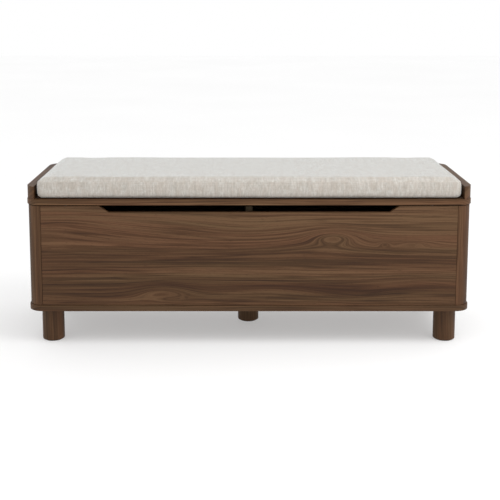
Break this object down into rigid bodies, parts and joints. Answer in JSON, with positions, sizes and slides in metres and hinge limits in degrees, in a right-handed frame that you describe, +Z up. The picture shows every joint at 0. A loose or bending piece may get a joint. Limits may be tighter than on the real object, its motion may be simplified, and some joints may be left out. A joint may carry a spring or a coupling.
{
  "type": "storage bench",
  "caption": "Long walnut-veneered storage bench with rounded corners, round legs, a lift-up lid between low end rails and a loose box cushion.",
  "frame": {"origin": "on the floor, under the middle of the bench", "axes": "+X along the bench to the right of someone facing it, the front faces -Y, +Z up"},
  "size_m": [1.2, 0.4, 0.455],
  "materials": {
    "walnut_veneer": "satin lacquered walnut veneer",
    "turned_walnut": "satin lacquered solid walnut",
    "liner_board": "matt foil-faced board",
    "bench_linen": "heathered oatmeal weave",
    "hinge_brass": "antique brass plated",
    "zinc_steel": "bright zinc plated",
    "black_steel": "black powder coat",
    "glide_felt": "pressed felt",
    "bumper_rubber": "matt grey rubber",
    "hook_tape": "woven hook-and-loop tape"
  },
  "bodies": {
    "carcass": {"bottom_plate": "walnut_veneer", "front_panel": "walnut_veneer", "back_panel": "walnut_veneer", "end_panel_left": "walnut_veneer", "end_panel_right": "walnut_veneer", "corner_post_front_left": "walnut_veneer", "corner_post_front_right": "walnut_veneer", "corner_post_back_left": "walnut_veneer", "corner_post_back_right": "walnut_veneer", "centre_divider": "liner_board", "leg_front_left": "turned_walnut", "leg_front_right": "turned_walnut", "leg_back_left": "turned_walnut", "leg_back_right": "turned_walnut", "leg_centre": "turned_walnut", "foot_glide_front_left": "glide_felt", "foot_glide_front_right": "glide_felt", "foot_glide_back_left": "glide_felt", "foot_glide_back_right": "glide_felt", "foot_glide_centre": "glide_felt", "leg_bolt_front_left": "zinc_steel", "leg_bolt_front_right": "zinc_steel", "leg_bolt_back_left": "zinc_steel", "leg_bolt_back_right": "zinc_steel", "leg_bolt_centre": "zinc_steel", "lid_bumper_left": "bumper_rubber", "lid_bumper_right": "bumper_rubber", "divider_bumper_front": "bumper_rubber", "divider_bumper_back": "bumper_rubber", "hinge_wall_leaf_left": "hinge_brass", "hinge_wall_leaf_centre": "hinge_brass", "hinge_wall_leaf_right": "hinge_brass", "hinge_pin_left": "hinge_brass", "hinge_pin_centre": "hinge_brass", "hinge_pin_right": "hinge_brass", "stay_wall_plate_left": "black_steel", "stay_wall_plate_right": "black_steel"},
    "lid": {"lid_panel": "walnut_veneer", "end_rail_left": "walnut_veneer", "end_rail_right": "walnut_veneer", "hinge_lid_leaf_left": "hinge_brass", "hinge_lid_leaf_centre": "hinge_brass", "hinge_lid_leaf_right": "hinge_brass", "stay_lid_bracket_left": "black_steel", "stay_lid_bracket_right": "black_steel", "rail_screw_front_left": "zinc_steel", "rail_screw_front_right": "zinc_steel", "rail_screw_back_left": "zinc_steel", "rail_screw_back_right": "zinc_steel", "cushion_strip_front_left": "hook_tape", "cushion_strip_front_right": "hook_tape", "cushion_strip_back_left": "hook_tape", "cushion_strip_back_right": "hook_tape", "seat_cushion": "bench_linen"},
    "stay_lower_left": {"stay_lower_arm_left": "black_steel"},
    "stay_upper_left": {"stay_upper_arm_left": "black_steel"},
    "stay_lower_right": {"stay_lower_arm_right": "black_steel"},
    "stay_upper_right": {"stay_upper_arm_right": "black_steel"}
  },
  "joints": [
    {"name": "lid_hinge", "type": "hinge", "parent": "carcass", "child": "lid", "pos_m": [0, 0.197, 0.387], "axis": [-1, 0, 0], "range_deg": [0, 85]},
    {"name": "stay_pivot_left", "type": "hinge", "parent": "carcass", "child": "stay_lower_left", "pos_m": [-0.5769, 0.12, 0.33], "axis": [-1, 0, 0], "range_deg": [0, 85]},
    {"name": "stay_elbow_left", "type": "hinge", "parent": "stay_lower_left", "child": "stay_upper_left", "pos_m": [-0.5769, 0.01, 0.316], "axis": [-1, 0, 0], "range_deg": [-85, 0]},
    {"name": "stay_pivot_right", "type": "hinge", "parent": "carcass", "child": "stay_lower_right", "pos_m": [0.5769, 0.12, 0.33], "axis": [-1, 0, 0], "range_deg": [0, 85]},
    {"name": "stay_elbow_right", "type": "hinge", "parent": "stay_lower_right", "child": "stay_upper_right", "pos_m": [0.5769, 0.01, 0.316], "axis": [-1, 0, 0], "range_deg": [-85, 0]}
  ],
  "couplings": [
    {"joint": "stay_pivot_left", "follows": "lid_hinge", "ratio": 1},
    {"joint": "stay_elbow_left", "follows": "lid_hinge", "ratio": -1},
    {"joint": "stay_pivot_right", "follows": "lid_hinge", "ratio": 1},
    {"joint": "stay_elbow_right", "follows": "lid_hinge", "ratio": -1}
  ]
}
